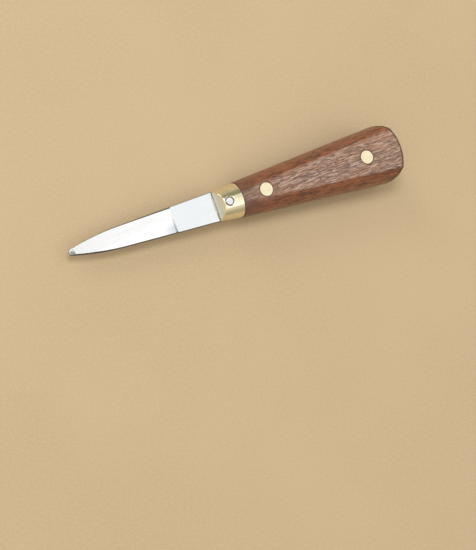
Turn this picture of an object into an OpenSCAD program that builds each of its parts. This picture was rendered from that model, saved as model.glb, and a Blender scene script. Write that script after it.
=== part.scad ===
// Oyster knife: lancet blade with a hidden tang, brass ferrule, riveted wooden handle.
// Every piece is drawn along the knife's own axis: x runs to the tip, y to the cutting edge, z up,
// with the origin where the blade's shoulders meet the ferrule. laid() then puts it on its flat.

/* [Blade] */
// Length of the blade from the ferrule to the tip
blade_length = 70.5; // [50:0.5:110]
// Width of the blade at the ferrule
blade_width = 13.4; // [10:0.1:18]
// Thickness of the blade at the ferrule
blade_thickness = 2.4; // [1.6:0.1:4]
// Thickness of the blade just behind the bevel at the tip
point_thickness = 1.5; // [1:0.1:1.6]
// Thickness that is left at the very tip
nib_thickness = 0.7; // [0.4:0.1:1]
// Length of the bevel that blunts the tip
nib_length = 2.6; // [1:0.1:5]
// Radius of the bevel's inner edge seen from above
nib_radius = 2.8; // [2.4:0.1:3.5]
// Radius of the blunt tip seen from above
tip_radius = 1.4; // [1:0.1:2.5]
// Length over which both edges run straight
straight_length = 45; // [30:1:46]
// Width of the blade where its edges begin to curve to the tip
straight_end_width = 9.7; // [8.8:0.1:10]
// Length of the part that is left unground in front of the ferrule
unground_length = 20.5; // [10:0.5:30]
// Size of the chamfers along both edges of that part
heel_chamfer = 0.2; // [0.1:0.05:0.5]
// Width of the bevel along the cutting edge, before the face is ground
edge_bevel = 1; // [0.3:0.1:1.2]
// Thickness left at the cutting edge
edge_thickness = 0.6; // [0.4:0.1:1.2]
// Width of the bevel along the back
back_bevel = 0.6; // [0.3:0.1:1.2]
// Thickness left at the back
back_thickness = 1.4; // [0.6:0.1:1.5]
// Slope of the ground face, in degrees
grind_angle = 5; // [3:0.5:6]
// Distance from the centre line to where the ground face starts
grind_offset = -1.2; // [-2:0.1:2]
// Radius of the shoulder where the ground face ends
plunge_radius = 0.8; // [0.3:0.1:4]

/* [Tang] */
// Length of the tang behind the rear rivet
tang_margin = 5.5; // [4:0.5:9]
// Width of the tang at the ferrule
tang_width = 8.4; // [7.5:0.1:9]
// Width of the tang at its end
tang_end_width = 7.2; // [6.6:0.1:7.4]
// Size of the corners cut off at its end
tang_corner = 1.8; // [0.5:0.1:3]

/* [Ferrule] */
// Length of the ferrule
ferrule_length = 11.2; // [9:0.1:16]
// Diameter of the ferrule at the blade
ferrule_front_diameter = 13.5; // [12.5:0.1:14.5]
// Diameter of the ferrule at the wood
ferrule_rear_diameter = 15.8; // [15:0.1:17]
// Thickness of the brass
ferrule_wall = 0.8; // [0.5:0.1:1.2]
// Radius of the rounded front end, seen from the side
ferrule_crown_radius = 11.7; // [10:0.1:20]
// Radius of the rounded lip at the wood
ferrule_lip = 0.35; // [0.1:0.05:0.5]
// Distance from the front of the ferrule to its pin
pin_position = 4.6; // [4:0.1:6]
// Diameter of the ferrule's pin
pin_diameter = 4; // [2:0.1:4.2]
// Radius of the rounded edge at both ends of the pin
pin_edge_radius = 0.5; // [0.2:0.1:0.8]
// Diameter of the countersink round the pin
pin_countersink = 4.6; // [4.4:0.1:5]

/* [Handle] */
// Length from the front of the ferrule to the butt
handle_length = 93; // [88:0.5:120]
// Diameter of the turned wood at the butt, before the flats and the corners are cut
handle_diameter = 27.9; // [24:0.1:34]
// Thickness of the wood between its flats, at the butt
handle_thickness = 20.8; // [18:0.1:23]
// How far the wood stands proud of the ferrule
wood_step = 0.15; // [0.05:0.05:0.5]
// Radius of the butt, seen from above
butt_radius = 20; // [15:0.5:40]
// Radius of the butt's two corners, seen from above
butt_corner_radius = 6; // [3:0.5:9]

/* [Rivets] */
// Distance from the front of the ferrule to the front rivet
front_rivet_position = 22.7; // [20:0.1:30]
// Distance from the butt to the rear rivet
rear_rivet_margin = 18.2; // [16:0.1:30]
// Diameter of the rivet heads
rivet_head_diameter = 6; // [5.6:0.1:7]
// Depth of the rivet heads in the wood
rivet_head_depth = 2.2; // [1.5:0.1:3]
// Outside diameter of the hollow shank
rivet_tube_diameter = 4.4; // [4:0.1:4.8]
// Diameter of the solid shank that is driven into it
rivet_shank_diameter = 2.8; // [2:0.1:3]

/* [Hidden] */
$fn = 96;

// Clearances
slot_gap = 0.1;
tenon_gap = 0.1;
seat_gap = 0.05;
pin_gap = 0.05;
rivet_gap = 0.08;
hole_gap = 0.15;
shank_gap = 0.03;
flat_gap = 0.03;
outline_gap = 0.04;
cut = 1;

// Derived sizes
steel_half = blade_thickness / 2;
heel_half = blade_width / 2;
straight_half = straight_end_width / 2;
taper_angle = atan((heel_half - straight_half) / straight_length);
curve_run = blade_length - tip_radius - straight_length;
curve_radius = (pow(curve_run, 2) + pow(straight_half, 2) - pow(tip_radius, 2))
    / (2 * (straight_half * cos(taper_angle) - curve_run * sin(taper_angle) - tip_radius));
curve_center_x = straight_length - curve_radius * sin(taper_angle);
curve_center_y = straight_half - curve_radius * cos(taper_angle);
tip_center_x = blade_length - tip_radius;
tip_joint_x = tip_center_x
    + tip_radius * (tip_center_x - curve_center_x) / (curve_radius - tip_radius);

ferrule_front_radius = ferrule_front_diameter / 2;
ferrule_rear_radius = ferrule_rear_diameter / 2;
ferrule_slope = (ferrule_rear_radius - ferrule_front_radius) / ferrule_length;
pin_mouth = ferrule_front_radius + ferrule_slope * pin_position;
wood_front_radius = ferrule_rear_radius + wood_step;
wood_length = handle_length - ferrule_length;
wood_slope = (handle_diameter / 2 - wood_front_radius) / wood_length;
flat_front_half = ferrule_rear_radius + flat_gap;
flat_slope = (handle_thickness / 2 - flat_front_half) / wood_length;
flat_angle = atan(flat_slope);
rear_rivet_position = handle_length - rear_rivet_margin;
tang_length = rear_rivet_position + tang_margin;

// The butt from above: each corner's circle touches the side's line and lies inside the end's circle.
// The side's line runs just outside the turned wood, so that the corner cuts it cleanly.
side_angle = atan(wood_slope);
side_front_half = wood_front_radius + outline_gap;
end_center = handle_length - butt_radius;
run_start = ferrule_length + butt_corner_radius * sin(side_angle) - end_center;
run_off = side_front_half - butt_corner_radius * cos(side_angle);
run_dot = run_start * cos(side_angle) + run_off * sin(side_angle);
run_length = sqrt(pow(run_dot, 2) - pow(run_start, 2) - pow(run_off, 2)
    + pow(butt_radius - butt_corner_radius, 2)) - run_dot;
corner_at = end_center + run_start + run_length * cos(side_angle);
corner_half = run_off + run_length * sin(side_angle);
side_joint_at = corner_at - butt_corner_radius * sin(side_angle);
side_joint_half = corner_half + butt_corner_radius * cos(side_angle);
end_reach = butt_radius / (butt_radius - butt_corner_radius);
end_joint_at = end_center + end_reach * (corner_at - end_center);
end_joint_half = end_reach * corner_half;

// The knife as it lies on the lower flat of its handle, centred over the origin
module laid() {
    rest_height = flat_height(0) * cos(flat_angle);
    shift = ((handle_length - blade_length) * cos(flat_angle)
        + handle_thickness / 2 * sin(flat_angle)) / 2;
    translate([shift, 0, rest_height])
        rotate([0, flat_angle, 0])
            children();
}

// Half of the blade's section: an edge of that thickness, a bevel of that width, and the full steel
module edge_section(edge_at, depth, bevel, thickness) {
    polygon([
        [edge_at, -thickness / 2],
        [edge_at, thickness / 2],
        [edge_at - bevel, steel_half],
        [edge_at - depth, steel_half],
        [edge_at - depth, -steel_half],
        [edge_at - bevel, -steel_half]
    ]);
}

// One side of the blade as far as its edge runs straight
module straight_side(bevel, thickness) {
    translate([straight_length, straight_half, 0])
        rotate([0, 0, -taper_angle])
            translate([-straight_length - cut, 0, 0])
                rotate([90, 0, 90])
                    linear_extrude(height = straight_length + cut)
                        edge_section(0, blade_width, bevel, thickness);
}

// One side of the blade, swept along its straight edge and on round the curve to the tip.
// The curved sweep starts a little early, inside the straight one, so that the two overlap.
module blade_side(bevel, thickness) {
    arc = asin((blade_length + cut - curve_center_x) / curve_radius) - taper_angle;
    overlap = asin(cut / curve_radius);
    intersection() {
        union() {
            straight_side(bevel, thickness);
            translate([curve_center_x, curve_center_y, 0])
                rotate([0, 0, 90 - taper_angle - arc])
                    rotate_extrude(angle = arc + overlap, $fn = 360)
                        edge_section(curve_radius, blade_width, bevel, thickness);
        }
        translate([0, 0, -steel_half])
            cube([blade_length + cut, blade_width, blade_thickness]);
    }
}

// One side of the unground part, whose edge is square but for its small chamfers
module heel_side() {
    intersection() {
        straight_side(heel_chamfer, blade_thickness - 2 * heel_chamfer);
        translate([0, 0, -steel_half])
            cube([unground_length, blade_width, blade_thickness]);
    }
}

// The blunt tip, rounded with the section of the cutting edge
module tip_round() {
    translate([tip_center_x, 0, 0])
        rotate_extrude()
            intersection() {
                edge_section(tip_radius, 2 * tip_radius, edge_bevel, edge_thickness);
                translate([0, -steel_half])
                    square([tip_radius, blade_thickness]);
            }
    translate([-cut, -blade_width, -steel_half])
        cube([tip_joint_x + cut, 2 * blade_width, blade_thickness]);
}

// The bevel that blunts the tip, turned about an upright axis so that its inner edge is round
module tip_bevel() {
    slope = (point_thickness - nib_thickness) / 2 / nib_length;
    nib_center = blade_length - nib_length - nib_radius;
    reach = nib_radius + nib_length + cut;
    middle = point_thickness / 2 + slope * nib_radius;
    rim = middle - slope * reach;
    translate([nib_center, 0, 0])
        rotate_extrude()
            polygon([[0, -middle], [reach, -rim], [reach, rim], [0, middle]]);
    translate([-cut, -blade_width, -steel_half])
        cube([nib_center + cut, 2 * blade_width, blade_thickness]);
}

// Side view of the blade: full thickness, then tapered to the point
module blade_side_view() {
    taper = (blade_thickness - point_thickness) / 2 / (blade_length - nib_length - unground_length);
    end_half = point_thickness / 2 - taper * (nib_length + cut);
    profile = [
        [-cut, steel_half],
        [unground_length, steel_half],
        [blade_length + cut, end_half]
    ];
    rotate([90, 0, 0])
        translate([0, 0, -blade_width])
            linear_extrude(height = 2 * blade_width)
                polygon(concat(profile, [for (i = [len(profile) - 1:-1:0]) [profile[i][0], -profile[i][1]]]));
}

// What the grinding wheel takes off the upper face, with a small radius at its shoulder
module grind() {
    translate([0, grind_offset, steel_half])
        rotate([-grind_angle, 0, 0])
            rotate([90, 0, 0])
                translate([0, 0, -blade_width])
                    linear_extrude(height = blade_width) {
                        translate([unground_length + plunge_radius, plunge_radius])
                            circle(r = plunge_radius);
                        translate([unground_length + plunge_radius, 0])
                            square([blade_length, blade_thickness]);
                        translate([unground_length, plunge_radius])
                            square([blade_length, blade_thickness]);
                    }
}

// The tapered tang that runs through ferrule and handle, with its three holes
module tang() {
    end_half = tang_end_width / 2;
    difference() {
        translate([0, 0, -steel_half])
            linear_extrude(height = blade_thickness)
                polygon([
                    [cut, -tang_width / 2], [cut, tang_width / 2],
                    [-tang_length + tang_corner, end_half],
                    [-tang_length, end_half - tang_corner],
                    [-tang_length, -end_half + tang_corner],
                    [-tang_length + tang_corner, -end_half]
                ]);
        across(pin_position) bore(pin_diameter + 2 * pin_gap);
        for (at = [front_rivet_position, rear_rivet_position])
            across(at) bore(rivet_tube_diameter + 2 * hole_gap);
    }
}

module blade() {
    color("gainsboro") laid() {
        union() {
            difference() {
                intersection() {
                    union() {
                        blade_side(edge_bevel, edge_thickness);
                        mirror([0, 1, 0]) blade_side(back_bevel, back_thickness);
                        heel_side();
                        mirror([0, 1, 0]) heel_side();
                    }
                    tip_round();
                    tip_bevel();
                    blade_side_view();
                }
                grind();
                mirror([0, 0, 1]) grind();
            }
            tang();
        }
    }
}

// Puts its children on the axis, so many millimetres behind the front of the ferrule
module across(distance) {
    translate([-distance, 0, 0]) children();
}

module bore(diameter) {
    cylinder(d = diameter, h = 2 * handle_diameter, center = true, $fn = 64);
}

// The ferrule's cone, grown outward or inward by so much, with its crowned front
module ferrule_form(grow, front, rear) {
    crown = ferrule_crown_radius + grow;
    intersection() {
        rotate([0, -90, 0])
            translate([0, 0, front])
                cylinder(r1 = ferrule_front_radius + grow + ferrule_slope * front,
                         r2 = ferrule_front_radius + grow + ferrule_slope * rear, h = rear - front);
        rotate([90, 0, 0])
            translate([0, 0, -ferrule_rear_diameter])
                linear_extrude(height = 2 * ferrule_rear_diameter) {
                    translate([-ferrule_crown_radius - seat_gap, 0])
                        circle(r = crown, $fn = 180);
                    translate([-ferrule_crown_radius - seat_gap - handle_length, -crown])
                        square([handle_length, 2 * crown]);
                }
    }
}

// A round bar from the origin up, with a rounded edge at its end
module rounded_end(radius, length, edge) {
    rotate_extrude() {
        square([radius, length - edge]);
        square([radius - edge, length]);
        translate([radius - edge, length - edge])
            circle(r = edge);
    }
}

// Room for the tang, in the ferrule and in the wood
module tang_space(gap) {
    translate([-tang_length - gap, -tang_width / 2 - gap, -steel_half - gap])
        cube([tang_length + gap + cut, tang_width + 2 * gap, blade_thickness + 2 * gap]);
}

// The brass cap: a wall all round and a front with a slot for the tang
module ferrule() {
    color("goldenrod") laid() {
        difference() {
            intersection() {
                ferrule_form(0, 0, ferrule_length);
                rotate([0, -90, 0]) rounded_end(ferrule_rear_radius, ferrule_length, ferrule_lip);
            }
            ferrule_form(-ferrule_wall, ferrule_wall, ferrule_length + cut);
            tang_space(slot_gap);
            across(pin_position) bore(pin_diameter + 2 * pin_gap);
            pin_countersinks();
        }
    }
}

// Shallow cones at both mouths of the pin's hole
module pin_countersinks() {
    depth = (pin_countersink - pin_diameter) / 2;
    for (side = [0, 1])
        mirror([0, 0, side])
            across(pin_position)
                translate([0, 0, pin_mouth - depth])
                    cylinder(d1 = pin_diameter + 2 * pin_gap,
                             d2 = pin_countersink + 2 * depth, h = 2 * depth, $fn = 64);
}

// The pin, with a rounded edge at both ends, that holds ferrule, tang and wood together
module ferrule_pin() {
    color("lightsteelblue") laid()
        across(pin_position)
            for (side = [0, 1])
                mirror([0, 0, side])
                    rounded_end(pin_diameter / 2, pin_mouth, pin_edge_radius);
}

// Height of the upper flat above the axis, so far behind the ferrule's front
function flat_height(at) = flat_front_half + flat_slope * (at - ferrule_length);

// The wood as it is turned: a cone that grows from the ferrule to the butt
module turned_wood() {
    length = wood_length + cut;
    rotate([0, -90, 0])
        translate([0, 0, ferrule_length])
            cylinder(r1 = wood_front_radius, r2 = wood_front_radius + wood_slope * length,
                     h = length, $fn = 180);
}

// The slab between the two sanded flats
module between_flats() {
    far = handle_length + cut;
    rotate([90, 0, 0])
        translate([0, 0, -handle_diameter])
            linear_extrude(height = 2 * handle_diameter)
                polygon([
                    [cut, flat_height(-cut)], [-far, flat_height(far)],
                    [-far, -flat_height(far)], [cut, -flat_height(-cut)]
                ]);
}

// What is kept of the wood seen from above: straight sides, two round corners and a shallow arc
module butt_outline() {
    front_half = side_joint_half - wood_slope * side_joint_at;
    middle_at = (end_joint_at + handle_length) / 2;
    translate([0, 0, -handle_diameter])
        linear_extrude(height = 2 * handle_diameter) {
            polygon([
                [0, front_half],
                [-side_joint_at, side_joint_half],
                [-end_joint_at, end_joint_half],
                [-middle_at, 0],
                [-end_joint_at, -end_joint_half],
                [-side_joint_at, -side_joint_half],
                [0, -front_half]
            ]);
            for (side = [-1, 1])
                translate([-corner_at, side * corner_half])
                    circle(r = butt_corner_radius);
            intersection() {
                translate([-end_center, 0])
                    circle(r = butt_radius, $fn = 180);
                translate([-handle_length - cut, -butt_radius])
                    square([handle_length + cut - end_joint_at, 2 * butt_radius]);
            }
        }
}

// The neck of the handle that fills the ferrule
module tenon() {
    ferrule_form(-ferrule_wall - tenon_gap, ferrule_wall + tenon_gap, ferrule_length + cut);
}

module handle() {
    color("sienna") laid() {
        difference() {
            union() {
                intersection() {
                    turned_wood();
                    between_flats();
                    butt_outline();
                }
                tenon();
            }
            tang_space(slot_gap);
            across(pin_position) bore(pin_diameter + 2 * pin_gap);
            for (at = [front_rivet_position, rear_rivet_position])
                across(at) rivet_hole(at);
        }
    }
}

// Room for one rivet: a through hole and a wider seat for each head
module rivet_hole(at) {
    bore(rivet_tube_diameter + 2 * rivet_gap);
    for (side = [0, 1])
        mirror([0, 0, side])
            translate([0, 0, flat_height(at) - rivet_head_depth])
                cylinder(d = rivet_head_diameter + 2 * rivet_gap, h = handle_diameter, $fn = 64);
}

// A rivet head on the upper flat, ground level with the wood
module rivet_head(at) {
    intersection() {
        across(at)
            translate([0, 0, flat_height(at) - rivet_head_depth + seat_gap])
                cylinder(d = rivet_head_diameter, h = handle_diameter, $fn = 64);
        between_flats();
    }
}

// Upper half: a head with a hollow shank
module rivet_female(at) {
    seat = flat_height(at) - rivet_head_depth + seat_gap;
    difference() {
        union() {
            rivet_head(at);
            across(at)
                translate([0, 0, -seat + 2 * seat_gap])
                    cylinder(d = rivet_tube_diameter, h = 2 * seat, $fn = 64);
        }
        across(at)
            translate([0, 0, -handle_diameter])
                cylinder(d = rivet_shank_diameter + 2 * shank_gap, h = handle_diameter + seat, $fn = 64);
    }
}

// Lower half: a head with a solid shank that is driven into the hollow one
module rivet_male(at) {
    seat = flat_height(at) - rivet_head_depth + seat_gap;
    mirror([0, 0, 1]) rivet_head(at);
    across(at)
        translate([0, 0, -seat - seat_gap])
            cylinder(d = rivet_shank_diameter, h = 2 * seat, $fn = 64);
}

module front_rivet_female() {
    color("khaki") laid() rivet_female(front_rivet_position);
}

module front_rivet_male() {
    color("darkkhaki") laid() rivet_male(front_rivet_position);
}

module rear_rivet_female() {
    color("khaki") laid() rivet_female(rear_rivet_position);
}

module rear_rivet_male() {
    color("darkkhaki") laid() rivet_male(rear_rivet_position);
}

blade();
ferrule();
ferrule_pin();
handle();
front_rivet_female();
front_rivet_male();
rear_rivet_female();
rear_rivet_male();
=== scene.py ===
import math

import bmesh
import bpy
from mathutils import Euler, Matrix, Vector

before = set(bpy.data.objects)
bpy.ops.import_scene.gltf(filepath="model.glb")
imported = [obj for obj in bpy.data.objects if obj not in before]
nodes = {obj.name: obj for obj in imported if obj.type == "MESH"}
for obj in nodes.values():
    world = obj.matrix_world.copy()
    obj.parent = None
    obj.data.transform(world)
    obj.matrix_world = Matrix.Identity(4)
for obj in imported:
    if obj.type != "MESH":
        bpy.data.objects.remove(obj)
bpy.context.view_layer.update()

MM = 0.001

# Sizes of the knife in millimetres, the same as in its CAD source. Places are along the knife's
# own axis: x runs to the tip, y to the cutting edge, z up, from the front of the ferrule.
BLADE_LENGTH = 70.5
BLADE_THICKNESS = 2.4
SHOULDER_AT = 20.5
FERRULE_LENGTH = 11.2
PIN_AT = -4.6
PIN_RADIUS = 2.0
HANDLE_LENGTH = 93.0
HANDLE_THICKNESS = 20.8
RIVETS_AT = (-22.7, -74.8)
RIVET_HEAD_RADIUS = 3.0

# Half of the wood's thickness between its flats, where it meets the ferrule
FLAT_FRONT_HALF = 7.93

# The butt seen from above: one wide arc between two tight corners, each with its own middle
BUTT_RADIUS = 20.0
BUTT_AT = BUTT_RADIUS - HANDLE_LENGTH
CORNER_RADIUS = 6.0
CORNER_AT = -84.89
CORNER_HALF = 7.39

# The knife lies on the lower flat of its handle, so its own axis is tilted and raised
FLAT_SLOPE = (HANDLE_THICKNESS / 2 - FLAT_FRONT_HALF) / (HANDLE_LENGTH - FERRULE_LENGTH)
FLAT_ANGLE = math.atan(FLAT_SLOPE)
KNIFE_SHIFT = ((HANDLE_LENGTH - BLADE_LENGTH) * math.cos(FLAT_ANGLE)
               + HANDLE_THICKNESS / 2 * math.sin(FLAT_ANGLE)) / 2
KNIFE_HEIGHT = (FLAT_FRONT_HALF - FLAT_SLOPE * FERRULE_LENGTH) * math.cos(FLAT_ANGLE)
KNIFE_ORIGIN = (KNIFE_SHIFT * MM, 0.0, KNIFE_HEIGHT * MM)


# Node tools

class Shader:
    """Adds nodes to one material or world and links them."""

    def __init__(self, owner):
        owner.use_nodes = True
        self.owner = owner
        self.tree = owner.node_tree
        self.tree.nodes.clear()

    def add(self, kind, inputs=None, **settings):
        """A node with those settings; an input is a plain value or another node's output."""
        made = self.tree.nodes.new(kind)
        for name, value in settings.items():
            setattr(made, name, value)
        for name, value in (inputs or {}).items():
            socket = made.inputs[name]
            if isinstance(value, bpy.types.NodeSocket):
                self.tree.links.new(value, socket)
            elif socket.type == "RGBA":
                socket.default_value = (*value, 1.0)
            else:
                socket.default_value = value
        return made

    def math(self, operation, a, b=0.0):
        return self.add("ShaderNodeMath", {0: a, 1: b}, operation=operation).outputs[0]

    def plus(self, a, b):
        return self.math("ADD", a, b)

    def minus(self, a, b):
        return self.math("SUBTRACT", a, b)

    def times(self, a, b):
        return self.math("MULTIPLY", a, b)

    def larger(self, a, b):
        return self.math("MAXIMUM", a, b)

    def smaller(self, a, b):
        return self.math("MINIMUM", a, b)

    def absolute(self, value):
        return self.math("ABSOLUTE", value)

    def vector(self, operation, a, b):
        return self.add("ShaderNodeVectorMath", {0: a, 1: b}, operation=operation).outputs[0]

    def split(self, vector):
        """The vector's three parts, by the names X, Y and Z."""
        return self.add("ShaderNodeSeparateXYZ", {"Vector": vector}).outputs

    def ramp(self, value, low, high, out_low=0.0, out_high=1.0):
        """Runs smoothly from out_low at low to out_high at high, also where low is above high."""
        inputs = {0: value, 1: low, 2: high, 3: out_low, 4: out_high}
        return self.add("ShaderNodeMapRange", inputs, interpolation_type="SMOOTHSTEP").outputs[0]

    def mix(self, share, a, b, blend="MIX"):
        """A mix of two colours, which a mix node takes at its sockets 6 and 7 and gives at 2."""
        inputs = {0: share, 6: a, 7: b}
        return self.add("ShaderNodeMix", inputs, data_type="RGBA", blend_type=blend).outputs[2]

    def tint(self, color, mask, strength, tone):
        """The colour with that much of the tone over it, inside the mask."""
        return self.mix(self.times(mask, strength), color, tone)

    def noise(self, place, detail, roughness=0.5, scale=1.0):
        inputs = {"Vector": place, "Scale": scale, "Detail": detail, "Roughness": roughness}
        return self.add("ShaderNodeTexNoise", inputs).outputs["Fac"]

    def knife(self, stretch=(1.0, 1.0, 1.0)):
        """A place in millimetres along the knife's own axis, times that stretch each way."""
        place = self.add("ShaderNodeTexCoord").outputs["Object"]
        moved = self.vector("SUBTRACT", place, KNIFE_ORIGIN)
        inputs = {"Vector": moved, "Rotation": (0.0, -FLAT_ANGLE, 0.0)}
        turned = self.add("ShaderNodeMapping", inputs).outputs[0]
        return self.vector("MULTIPLY", turned, tuple(size / MM for size in stretch))

    def grain(self, place, stretch, sway=0.0):
        """A place stretched along the wood's fibres, which wander within that many millimetres."""
        if sway:
            slow = self.vector("MULTIPLY", place, (0.07, 0.11, 0.11))
            wander = self.add("ShaderNodeTexNoise", {"Vector": slow, "Scale": 1.0, "Detail": 2.0})
            off = self.vector("SUBTRACT", wander.outputs["Color"], (0.5, 0.5, 0.5))
            off = self.vector("MULTIPLY", off, (0.0, sway, sway))
            place = self.vector("ADD", place, off)
        return self.vector("MULTIPLY", place, stretch)

    def reach(self, x, y, at_x, at_y=0.0):
        """The distance from an upright line, seen from above."""
        off_x = self.minus(x, at_x)
        off_y = self.minus(y, at_y)
        squares = self.plus(self.times(off_x, off_x), self.times(off_y, off_y))
        return self.math("SQRT", squares)

    def soft_edge(self, radius):
        """A normal that is rounded over every sharp edge."""
        return self.add("ShaderNodeBevel", {"Radius": radius}, samples=6).outputs[0]

    def bump(self, height, strength, distance, normal=None):
        inputs = {"Height": height, "Strength": strength, "Distance": distance}
        if normal is not None:
            inputs["Normal"] = normal
        return self.add("ShaderNodeBump", inputs).outputs[0]

    def surface(self, inputs):
        """The finished material, with a principled shader."""
        shader = self.add("ShaderNodeBsdfPrincipled", inputs)
        self.add("ShaderNodeOutputMaterial", {"Surface": shader.outputs[0]})
        return self.owner


def material(name):
    """Node tools on a new material."""
    return Shader(bpy.data.materials.new(name))


# Steel. Here and below, a colour is linear red, green and blue.

GROUND = (0.780, 0.795, 0.850)
UNGROUND = (0.675, 0.705, 0.775)
PLUNGE_SHADE = (0.47, 0.52, 0.59)
STEEL_CLOUD = (0.71, 0.735, 0.79)
GRINDING_LINE = (0.61, 0.64, 0.70)
TIP_PAINTED_SHADE = (0.48, 0.515, 0.56)
BEVEL_PAINTED_SHADE = (0.12, 0.125, 0.14)

# The painted shade on the tip fades in from the first of these places to the second
TIP_AT = (BLADE_LENGTH - 4.5, BLADE_LENGTH - 3.0)

PIN_DARK = (0.52, 0.54, 0.59)
PIN_LIGHT = (0.78, 0.80, 0.86)
PIN_RIM_PAINTED_SHADE = (0.10, 0.105, 0.12)


def blade_steel():
    """Ground steel: fine lines, soft clouds, and painted shade at the plunge and on the bevels."""
    steel = material("blade_steel")
    place = steel.split(steel.knife())
    x = place["X"]
    along = steel.noise(steel.knife((0.06, 5.0, 5.0)), 3.0, 0.6)
    cross = steel.noise(steel.knife((6.0, 0.12, 0.4)), 2.0, 0.6)
    cloud = steel.noise(steel.knife((0.08, 0.25, 0.25)), 2.0)

    # The ground part begins at a shoulder, with painted shade beside it on the cutting edge's side
    color = steel.mix(steel.ramp(x, SHOULDER_AT - 0.2, SHOULDER_AT + 0.8), UNGROUND, GROUND)
    plunge = steel.ramp(x, SHOULDER_AT + 9.5, SHOULDER_AT)
    plunge = steel.times(plunge, steel.ramp(place["Y"], -0.5, 3.5))
    plunge = steel.times(plunge, steel.ramp(x, SHOULDER_AT - 0.2, SHOULDER_AT + 0.1))
    color = steel.tint(color, plunge, 0.9, PLUNGE_SHADE)
    color = steel.tint(color, steel.ramp(cloud, 0.45, 0.7), 0.35, STEEL_CLOUD)
    color = steel.tint(color, steel.ramp(cross, 0.55, 0.7), 0.25, GRINDING_LINE)

    # Painted shade on the bevels: round the tip, along both edges and across the heel
    facing = steel.split(steel.add("ShaderNodeNewGeometry").outputs["True Normal"])
    sloped = steel.ramp(steel.absolute(facing["Z"]), 0.993, 0.986)
    tip = steel.times(sloped, steel.ramp(x, *TIP_AT))
    color = steel.tint(color, tip, 0.9, TIP_PAINTED_SHADE)
    side = steel.ramp(steel.absolute(facing["Y"]), 0.35, 0.55)
    side = steel.larger(side, steel.ramp(facing["X"], -0.35, -0.55))
    color = steel.tint(color, side, 0.93, BEVEL_PAINTED_SHADE)

    rough = steel.plus(steel.ramp(along, 0.3, 0.7, 0.12, 0.2), steel.ramp(cross, 0.55, 0.75, 0.0, 0.05))
    rough = steel.plus(rough, steel.times(side, 0.15))
    height = steel.plus(steel.times(along, 0.6), steel.times(cross, 0.4))
    return steel.surface({"Base Color": color, "Metallic": 1.0, "Roughness": rough,
                          "Normal": steel.bump(height, 0.05, 0.05 * MM)})


def pin_steel():
    """Polished steel with a rim of painted shade."""
    steel = material("pin_steel")
    place = steel.split(steel.knife())
    swirl = steel.noise(steel.knife((2.5, 2.5, 2.5)), 3.0)
    off_center = steel.reach(place["X"], place["Y"], PIN_AT)
    # Painted shade in a ring inside the pin's edge
    rim = steel.ramp(off_center, PIN_RADIUS - 0.6, PIN_RADIUS - 0.3)
    color = steel.mix(steel.ramp(swirl, 0.35, 0.65), PIN_DARK, PIN_LIGHT)
    color = steel.tint(color, rim, 0.8, PIN_RIM_PAINTED_SHADE)
    rough = steel.plus(steel.ramp(swirl, 0.3, 0.7, 0.1, 0.22), steel.times(rim, 0.1))
    return steel.surface({"Base Color": color, "Metallic": 1.0, "Roughness": rough,
                          "Normal": steel.bump(swirl, 0.08, 0.1 * MM)})


# Brass

FERRULE_LIGHT = (0.92, 0.85, 0.66)
FERRULE_DARK = (0.87, 0.79, 0.59)
SEAM_PAINTED_SHADE = (0.22, 0.19, 0.09)

RIVET_LIGHT = (0.79, 0.72, 0.535)
RIVET_DARK = (0.74, 0.67, 0.485)


def ferrule_brass():
    """Polished brass with turned lines and painted shade in the seam where the blade enters."""
    brass = material("ferrule_brass")
    place = brass.split(brass.knife())
    cloud = brass.noise(brass.knife((0.35, 0.35, 0.35)), 3.0)
    turned = brass.noise(brass.knife((7.0, 0.15, 0.15)), 2.0)
    rounded = brass.soft_edge(0.6 * MM)
    color = brass.mix(brass.ramp(cloud, 0.35, 0.7), FERRULE_LIGHT, FERRULE_DARK)
    # Painted shade on the front face beside the blade
    steel_half = BLADE_THICKNESS / 2
    level = brass.ramp(brass.absolute(place["Z"]), steel_half + 0.9, steel_half + 0.1)
    seam = brass.times(level, brass.ramp(place["X"], -0.9, -0.3))
    color = brass.tint(color, seam, 0.85, SEAM_PAINTED_SHADE)
    rough = brass.plus(brass.ramp(turned, 0.3, 0.7, 0.13, 0.19), brass.ramp(cloud, 0.5, 0.8, 0.0, 0.06))
    return brass.surface({"Base Color": color, "Metallic": 1.0, "Roughness": rough,
                          "Normal": brass.bump(turned, 0.06, 0.06 * MM, rounded)})


def rivet_brass():
    """Brass sanded along the handle, duller than the ferrule."""
    brass = material("rivet_brass")
    sanded = brass.noise(brass.knife((0.4, 6.0, 6.0)), 2.0)
    cloud = brass.noise(brass.knife((0.6, 0.6, 0.6)), 2.0)
    color = brass.mix(brass.ramp(cloud, 0.3, 0.7), RIVET_LIGHT, RIVET_DARK)
    rough = brass.ramp(sanded, 0.3, 0.7, 0.28, 0.4)
    return brass.surface({"Base Color": color, "Metallic": 1.0, "Roughness": rough,
                          "Normal": brass.bump(sanded, 0.08, 0.06 * MM)})


# Wood

DARK_BAND = (0.120, 0.037, 0.018)
RED_BAND = (0.285, 0.092, 0.036)
ORANGE_PATCH = (0.36, 0.115, 0.036)
LIGHT_STREAK = (0.45, 0.19, 0.085)
DARK_STREAK = (0.065, 0.020, 0.010)
LIGHT_FIBRE = (0.48, 0.22, 0.11)
DARK_FIBRE = (0.050, 0.017, 0.010)
ROUND_SIDE_SHEENLESS_TONE = (0.765, 0.60, 0.535)
FLAT_PAINTED_SHEEN = (0.80, 0.86, 0.93)
PAINTED_SHEEN_STREAK = (0.56, 0.42, 0.36)
PORE = (0.030, 0.012, 0.009)
DARK_FRONT = (0.095, 0.042, 0.032)
BUTT_RIM_PAINTED_SHADE = (0.075, 0.022, 0.010)
RIVET_RING_PAINTED_SHADE = (0.05, 0.022, 0.014)

# The wood darkens towards the ferrule, from the first of these places to the second
DARK_FRONT_AT = (-27.0, -11.0)

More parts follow.
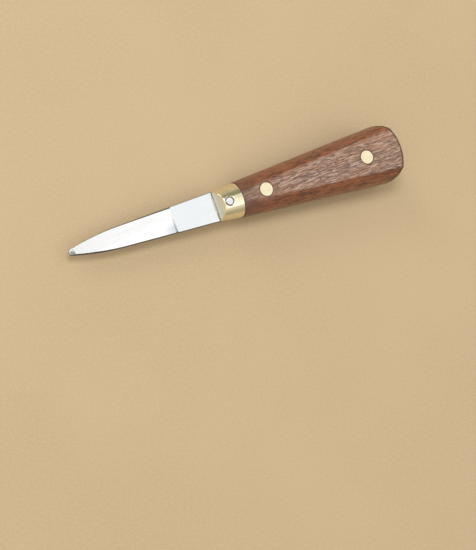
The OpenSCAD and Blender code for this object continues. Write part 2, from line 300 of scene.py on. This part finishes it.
# The painted shade on the butt's rounded rim starts this far inside its outline, and is full at the
# second distance
RIM_SHADE_START = 1.0
RIM_SHADE_FULL = 0.55

# The butt's wide arc counts from the first of these places on, and fully from the second
ARC_AT = (13.0 - HANDLE_LENGTH, 11.0 - HANDLE_LENGTH)


def butt_rim(wood, x, y):
    """A mask along the butt's outline: its wide arc and both of its corners."""
    off_arc = wood.reach(x, y, BUTT_AT)
    arc = wood.ramp(off_arc, BUTT_RADIUS - RIM_SHADE_START, BUTT_RADIUS - RIM_SHADE_FULL)
    arc = wood.times(arc, wood.ramp(x, *ARC_AT))

    half = wood.absolute(y)
    off_corner = wood.reach(x, half, CORNER_AT, CORNER_HALF)
    corner = wood.ramp(off_corner, CORNER_RADIUS - RIM_SHADE_START, CORNER_RADIUS - RIM_SHADE_FULL)
    off_x = wood.minus(x, CORNER_AT)
    off_y = wood.minus(half, CORNER_HALF)
    between = BUTT_RADIUS - CORNER_RADIUS
    past_arc = wood.plus(wood.times(off_x, CORNER_HALF / between),
                         wood.times(off_y, (BUTT_AT - CORNER_AT) / between))
    sector = wood.times(wood.ramp(past_arc, -0.1, 0.1), wood.ramp(off_x, 0.8, -1.5))
    return wood.larger(arc, wood.times(corner, sector))


def hardwood():
    """Open-pored red-brown wood: polished round sides, flats with painted sheen, and painted shade
    along the butt's rim.
    """
    wood = material("hardwood")
    knife = wood.knife()
    place = wood.split(knife)
    x = place["X"]
    y = place["Y"]
    bands = wood.noise(wood.grain(knife, (0.016, 0.28, 0.28), 2.0), 3.0, 0.6)
    patches = wood.noise(wood.grain(knife, (0.05, 0.16, 0.16)), 2.0)
    streaks = wood.noise(wood.grain(knife, (0.15, 1.5, 1.5), 1.8), 3.0, 0.62)
    fibres = wood.noise(wood.grain(knife, (0.30, 4.2, 4.2), 1.8), 3.0, 0.6)
    pores = wood.noise(wood.grain(knife, (0.33, 3.0, 3.0), 1.6), 1.0)
    pale = wood.noise(wood.grain(knife, (0.17, 2.1, 2.1), 1.8), 2.0, 0.55)
    pore = wood.ramp(pores, 0.60, 0.68)
    rounded = wood.soft_edge(1.9 * MM)
    flat = wood.ramp(wood.absolute(wood.split(rounded)["Z"]), 0.91, 0.985)

    # The figure, from wide bands to fine fibres
    color = wood.mix(wood.ramp(bands, 0.36, 0.64), DARK_BAND, RED_BAND)
    color = wood.tint(color, wood.ramp(patches, 0.45, 0.7), 0.6, ORANGE_PATCH)
    color = wood.tint(color, wood.ramp(streaks, 0.46, 0.60), 0.6, LIGHT_STREAK)
    color = wood.tint(color, wood.ramp(streaks, 0.49, 0.38), 0.75, DARK_STREAK)
    color = wood.tint(color, wood.ramp(fibres, 0.47, 0.62), 0.4, LIGHT_FIBRE)
    color = wood.tint(color, wood.ramp(fibres, 0.50, 0.38), 0.45, DARK_FIBRE)

    # The flats carry a painted sheen: greyer than the round sides, with pale streaks of painted sheen;
    # the pores are dark on both
    color = wood.mix(1.0, color, wood.mix(flat, ROUND_SIDE_SHEENLESS_TONE, FLAT_PAINTED_SHEEN), "MULTIPLY")
    sheen_share = wood.plus(0.10, wood.times(wood.ramp(pale, 0.50, 0.64), 0.55))
    color = wood.mix(wood.times(flat, sheen_share), color, PAINTED_SHEEN_STREAK)
    color = wood.tint(color, pore, 0.8, PORE)

    # Darker places: next to the ferrule, and painted shade on the butt's rounded rim and round the
    # rivets
    color = wood.tint(color, wood.ramp(x, *DARK_FRONT_AT), 0.55, DARK_FRONT)
    color = wood.tint(color, butt_rim(wood, x, y), 0.75, BUTT_RIM_PAINTED_SHADE)
    # Painted shade in a ring round each rivet head
    front, rear = (wood.reach(x, y, at) for at in RIVETS_AT)
    ring = wood.ramp(wood.smaller(front, rear), RIVET_HEAD_RADIUS + 0.6, RIVET_HEAD_RADIUS + 0.1)
    color = wood.tint(color, ring, 0.7, RIVET_RING_PAINTED_SHADE)

    rough = wood.plus(wood.ramp(streaks, 0.36, 0.62, 0.50, 0.27), wood.times(pore, 0.2))
    height = wood.plus(wood.times(streaks, 0.8), wood.times(fibres, 0.25))
    height = wood.minus(height, wood.times(pore, 0.35))
    return wood.surface({"Base Color": color, "Roughness": rough,
                         "Normal": wood.bump(height, 0.6, 0.34 * MM, rounded),
                         "Specular IOR Level": 0.6, "Coat Weight": 0.35, "Coat Roughness": 0.3})


# Pieces

def dress(name, look):
    """Gives a CAD node its material."""
    piece = nodes[name]
    piece.data.materials.clear()
    piece.data.materials.append(look)


dress("blade", blade_steel())
dress("ferrule", ferrule_brass())
dress("ferrule_pin", pin_steel())
dress("handle", hardwood())
rivet = rivet_brass()
for head in ("front_rivet_female", "front_rivet_male", "rear_rivet_female", "rear_rivet_male"):
    dress(head, rivet)


# Floor

FLOOR_RADIUS = 6.0
CARD_DARK = (0.508, 0.386, 0.241)
CARD_LIGHT = (0.532, 0.406, 0.256)
CARD_FLECK = (0.60, 0.465, 0.31)


def floor():
    """A wide round floor of pale tan card."""
    mesh = bpy.data.meshes.new("floor")
    made = bmesh.new()
    bmesh.ops.create_circle(made, cap_ends=True, segments=96, radius=FLOOR_RADIUS)
    made.to_mesh(mesh)
    made.free()
    piece = bpy.data.objects.new("floor", mesh)
    bpy.context.scene.collection.objects.link(piece)
    card = material("floor_card")
    place = card.add("ShaderNodeTexCoord").outputs["Object"]
    fine = card.noise(place, 3.0, 0.6, 900.0)
    soft = card.noise(place, 2.0, 0.5, 12.0)
    color = card.mix(card.ramp(soft, 0.3, 0.7), CARD_DARK, CARD_LIGHT)
    color = card.tint(color, card.ramp(fine, 0.40, 0.66), 0.4, CARD_FLECK)
    mesh.materials.append(card.surface({"Base Color": color, "Roughness": 0.85,
                                        "Normal": card.bump(fine, 0.15, 0.2 * MM)}))


floor()


# Light

def softbox(name, direction, wide, tall, radiance, distance):
    """A flat lamp that faces the knife from that direction, with its sizes in metres."""
    lamp = bpy.data.lights.new(name, "AREA")
    lamp.shape = "RECTANGLE"
    lamp.size = wide
    lamp.size_y = tall
    # The power that gives a flat lamp this radiance
    lamp.energy = radiance * math.pi * wide * tall
    piece = bpy.data.objects.new(name, lamp)
    back = Vector(direction).normalized()
    side = Vector((0.0, 1.0, 0.0)).cross(back).normalized()
    turn = Matrix((side, back.cross(side), back)).transposed()
    piece.matrix_world = Matrix.Translation(back * distance) @ turn.to_4x4()
    piece.visible_camera = False
    bpy.context.scene.collection.objects.link(piece)


# The blade's face mirrors the wide main lamp, and two small, stronger lamps shape the wood
softbox("main_softbox", (-0.469, 0.092, 0.878), wide=0.71, tall=1.62, radiance=0.86, distance=1.2)
softbox("key_softbox", (0.22, -0.30, 0.93), wide=0.42, tall=0.42, radiance=11.0, distance=1.3)
softbox("rim_softbox", (0.36, -0.80, 0.46), wide=0.45, tall=0.45, radiance=5.0, distance=1.3)

# The room's colours by height and side: back is -Y, front is +Y and the tip's side is +X
LOW_BACK = (0.57, 0.50, 0.35)
LOW_FRONT = (0.44, 0.38, 0.27)
LOW_TIP_SIDE = (0.80, 0.77, 0.70)
HIGH_BACK = (0.28, 0.275, 0.19)
HIGH_FRONT = (0.72, 0.68, 0.55)
HIGH_TIP_SIDE = (1.0, 0.97, 0.90)


def sky():
    """A soft studio all round: low warm walls and a ceiling, both brighter towards the knife's tip."""
    world = bpy.data.worlds.new("studio")
    bpy.context.scene.world = world
    room = Shader(world)
    way = room.split(room.add("ShaderNodeTexCoord").outputs["Generated"])
    low = room.mix(room.ramp(way["Y"], -0.3, 0.3), LOW_BACK, LOW_FRONT)
    low = room.mix(room.ramp(way["X"], 0.2, 0.9), low, LOW_TIP_SIDE)
    high = room.mix(room.ramp(way["Y"], -0.35, 0.3), HIGH_BACK, HIGH_FRONT)
    high = room.mix(room.ramp(way["X"], 0.12, 0.42), high, HIGH_TIP_SIDE)
    color = room.mix(room.ramp(way["Z"], 0.30, 0.62), low, high)
    light = room.add("ShaderNodeBackground", {"Color": color, "Strength": 1.0})
    room.add("ShaderNodeOutputWorld", {"Surface": light.outputs[0]})


sky()


# Camera

# The focal length and the picture's long side in pixels, and the sensor's width in millimetres
FOCAL_PIXELS = 1725.0
LONG_SIDE_PIXELS = 550.0
SENSOR_WIDTH = 36.0

# Where the camera stands in millimetres, and its turns about X, Y and Z in degrees
CAMERA_PLACE = (348.442, 54.900, 676.066)
CAMERA_TURNS = (11.22642, -24.49464, 158.44097)


def camera():
    """The photo's view of the knife."""
    view = bpy.data.cameras.new("camera")
    view.lens = SENSOR_WIDTH * FOCAL_PIXELS / LONG_SIDE_PIXELS
    view.sensor_width = SENSOR_WIDTH
    view.clip_start = 0.01
    view.clip_end = 50.0
    piece = bpy.data.objects.new("camera", view)
    turn = Euler([math.radians(angle) for angle in CAMERA_TURNS]).to_matrix()
    piece.matrix_world = Matrix.Translation(Vector(CAMERA_PLACE) * MM) @ turn.to_4x4()
    bpy.context.scene.collection.objects.link(piece)
    bpy.context.scene.camera = piece


camera()

bpy.context.scene.view_settings.view_transform = "Standard"
